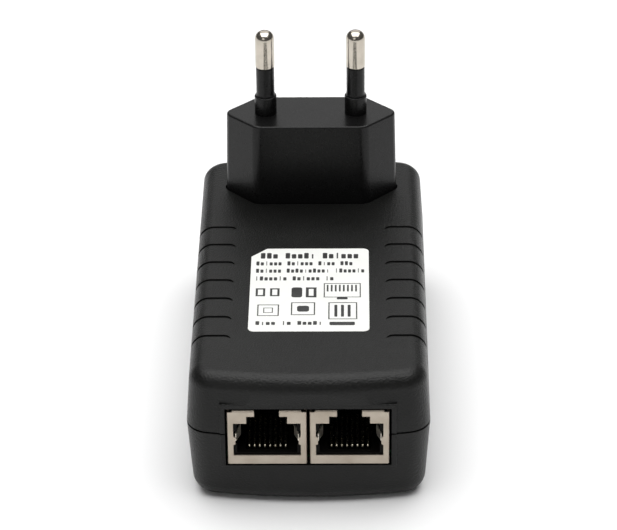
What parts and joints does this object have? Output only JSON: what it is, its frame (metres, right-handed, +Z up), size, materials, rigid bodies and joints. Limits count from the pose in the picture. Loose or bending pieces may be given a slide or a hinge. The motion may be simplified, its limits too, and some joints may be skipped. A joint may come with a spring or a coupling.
{
  "type": "poe injector",
  "caption": "Wall-plug power adapter that feeds power into a network cable: drafted two-shell case, two-pin plug on top, two shielded jacks in front.",
  "frame": {"origin": "centre of the case's footprint, on the surface it lies on", "axes": "+Y from the jack face to the rear, +X to the right seen from the jack face, +Z up out of the plug's pins"},
  "size_m": [0.0478, 0.0912, 0.0662],
  "materials": {
    "case_black": "fine spark-eroded texture, semi-gloss",
    "plug_black": "smooth moulded, semi-gloss",
    "label": "printed sticker",
    "pin_nickel": "nickel plated",
    "shield_tin": "tin plated sheet",
    "jack_black": "moulded",
    "contact_gold": "gold plated wire",
    "board_green": "solder resist",
    "lead_brown": "insulated wire",
    "lead_blue": "insulated wire",
    "fuse_metal": "plated caps",
    "film_yellow": "moulded",
    "ferrite": "sintered",
    "package_black": "epoxy moulded",
    "can_sleeve": "shrink sleeve",
    "winding_tape": "polyester tape",
    "disc_blue": "dipped",
    "sink_aluminium": "plain sheet",
    "screw_steel": "zinc plated"
  },
  "bodies": {
    "case": {"upper_cover": "case_black", "lower_base": "case_black", "rating_label": "label", "plug_block": "plug_black", "pin_left": "pin_nickel", "pin_right": "pin_nickel", "pin_sleeve_left": "plug_black", "pin_sleeve_right": "plug_black", "mains_lead_left": "lead_brown", "mains_lead_right": "lead_blue", "left_jack_shield": "shield_tin", "left_jack_housing": "jack_black", "right_jack_shield": "shield_tin", "right_jack_housing": "jack_black", "fuse": "fuse_metal", "x_capacitor": "film_yellow", "line_filter_choke": "ferrite", "bridge_rectifier": "package_black", "bulk_capacitor_1": "can_sleeve", "bulk_capacitor_2": "can_sleeve", "switching_transistor": "package_black", "transistor_screw": "screw_steel", "heat_sink_primary": "sink_aluminium", "transformer_core": "ferrite", "transformer_bobbin": "package_black", "transformer_winding": "winding_tape", "y_capacitor": "disc_blue", "control_chip": "package_black", "optocoupler": "package_black", "output_diode": "package_black", "diode_screw": "screw_steel", "heat_sink_secondary": "sink_aluminium", "output_capacitor_1": "can_sleeve", "output_capacitor_2": "can_sleeve", "output_choke": "ferrite", "circuit_board": "board_green"},
    "left_contacts": {"left_contact_1": "contact_gold", "left_contact_2": "contact_gold", "left_contact_3": "contact_gold", "left_contact_4": "contact_gold", "left_contact_5": "contact_gold", "left_contact_6": "contact_gold", "left_contact_7": "contact_gold", "left_contact_8": "contact_gold"},
    "left_jack_left_tongue": {"left_jack_left_spring": "shield_tin"},
    "left_jack_right_tongue": {"left_jack_right_spring": "shield_tin"},
    "right_contacts": {"right_contact_1": "contact_gold", "right_contact_2": "contact_gold", "right_contact_3": "contact_gold", "right_contact_4": "contact_gold", "right_contact_5": "contact_gold", "right_contact_6": "contact_gold", "right_contact_7": "contact_gold", "right_contact_8": "contact_gold"},
    "right_jack_left_tongue": {"right_jack_left_spring": "shield_tin"},
    "right_jack_right_tongue": {"right_jack_right_spring": "shield_tin"}
  },
  "joints": [
    {"name": "left_contacts_flex", "type": "hinge", "parent": "case", "child": "left_contacts", "pos_m": [-0.00808, -0.04225, 0.0118], "axis": [-1, 0, 0], "range_deg": [0, 8], "stiffness_Nm_per_rad": 0.4},
    {"name": "left_jack_left_spring_flex", "type": "hinge", "parent": "case", "child": "left_jack_left_tongue", "pos_m": [-0.01452, -0.0439, 0.0153], "axis": [0, 0, 1], "range_deg": [0, 6], "stiffness_Nm_per_rad": 0.05},
    {"name": "left_jack_right_spring_flex", "type": "hinge", "parent": "case", "child": "left_jack_right_tongue", "pos_m": [-0.00162, -0.0439, 0.0153], "axis": [0, 0, -1], "range_deg": [0, 6], "stiffness_Nm_per_rad": 0.05},
    {"name": "right_contacts_flex", "type": "hinge", "parent": "case", "child": "right_contacts", "pos_m": [0.00808, -0.04225, 0.0118], "axis": [-1, 0, 0], "range_deg": [0, 8], "stiffness_Nm_per_rad": 0.4},
    {"name": "right_jack_left_spring_flex", "type": "hinge", "parent": "case", "child": "right_jack_left_tongue", "pos_m": [0.00162, -0.0439, 0.0153], "axis": [0, 0, 1], "range_deg": [0, 6], "stiffness_Nm_per_rad": 0.05},
    {"name": "right_jack_right_spring_flex", "type": "hinge", "parent": "case", "child": "right_jack_right_tongue", "pos_m": [0.01452, -0.0439, 0.0153], "axis": [0, 0, -1], "range_deg": [0, 6], "stiffness_Nm_per_rad": 0.05}
  ]
}
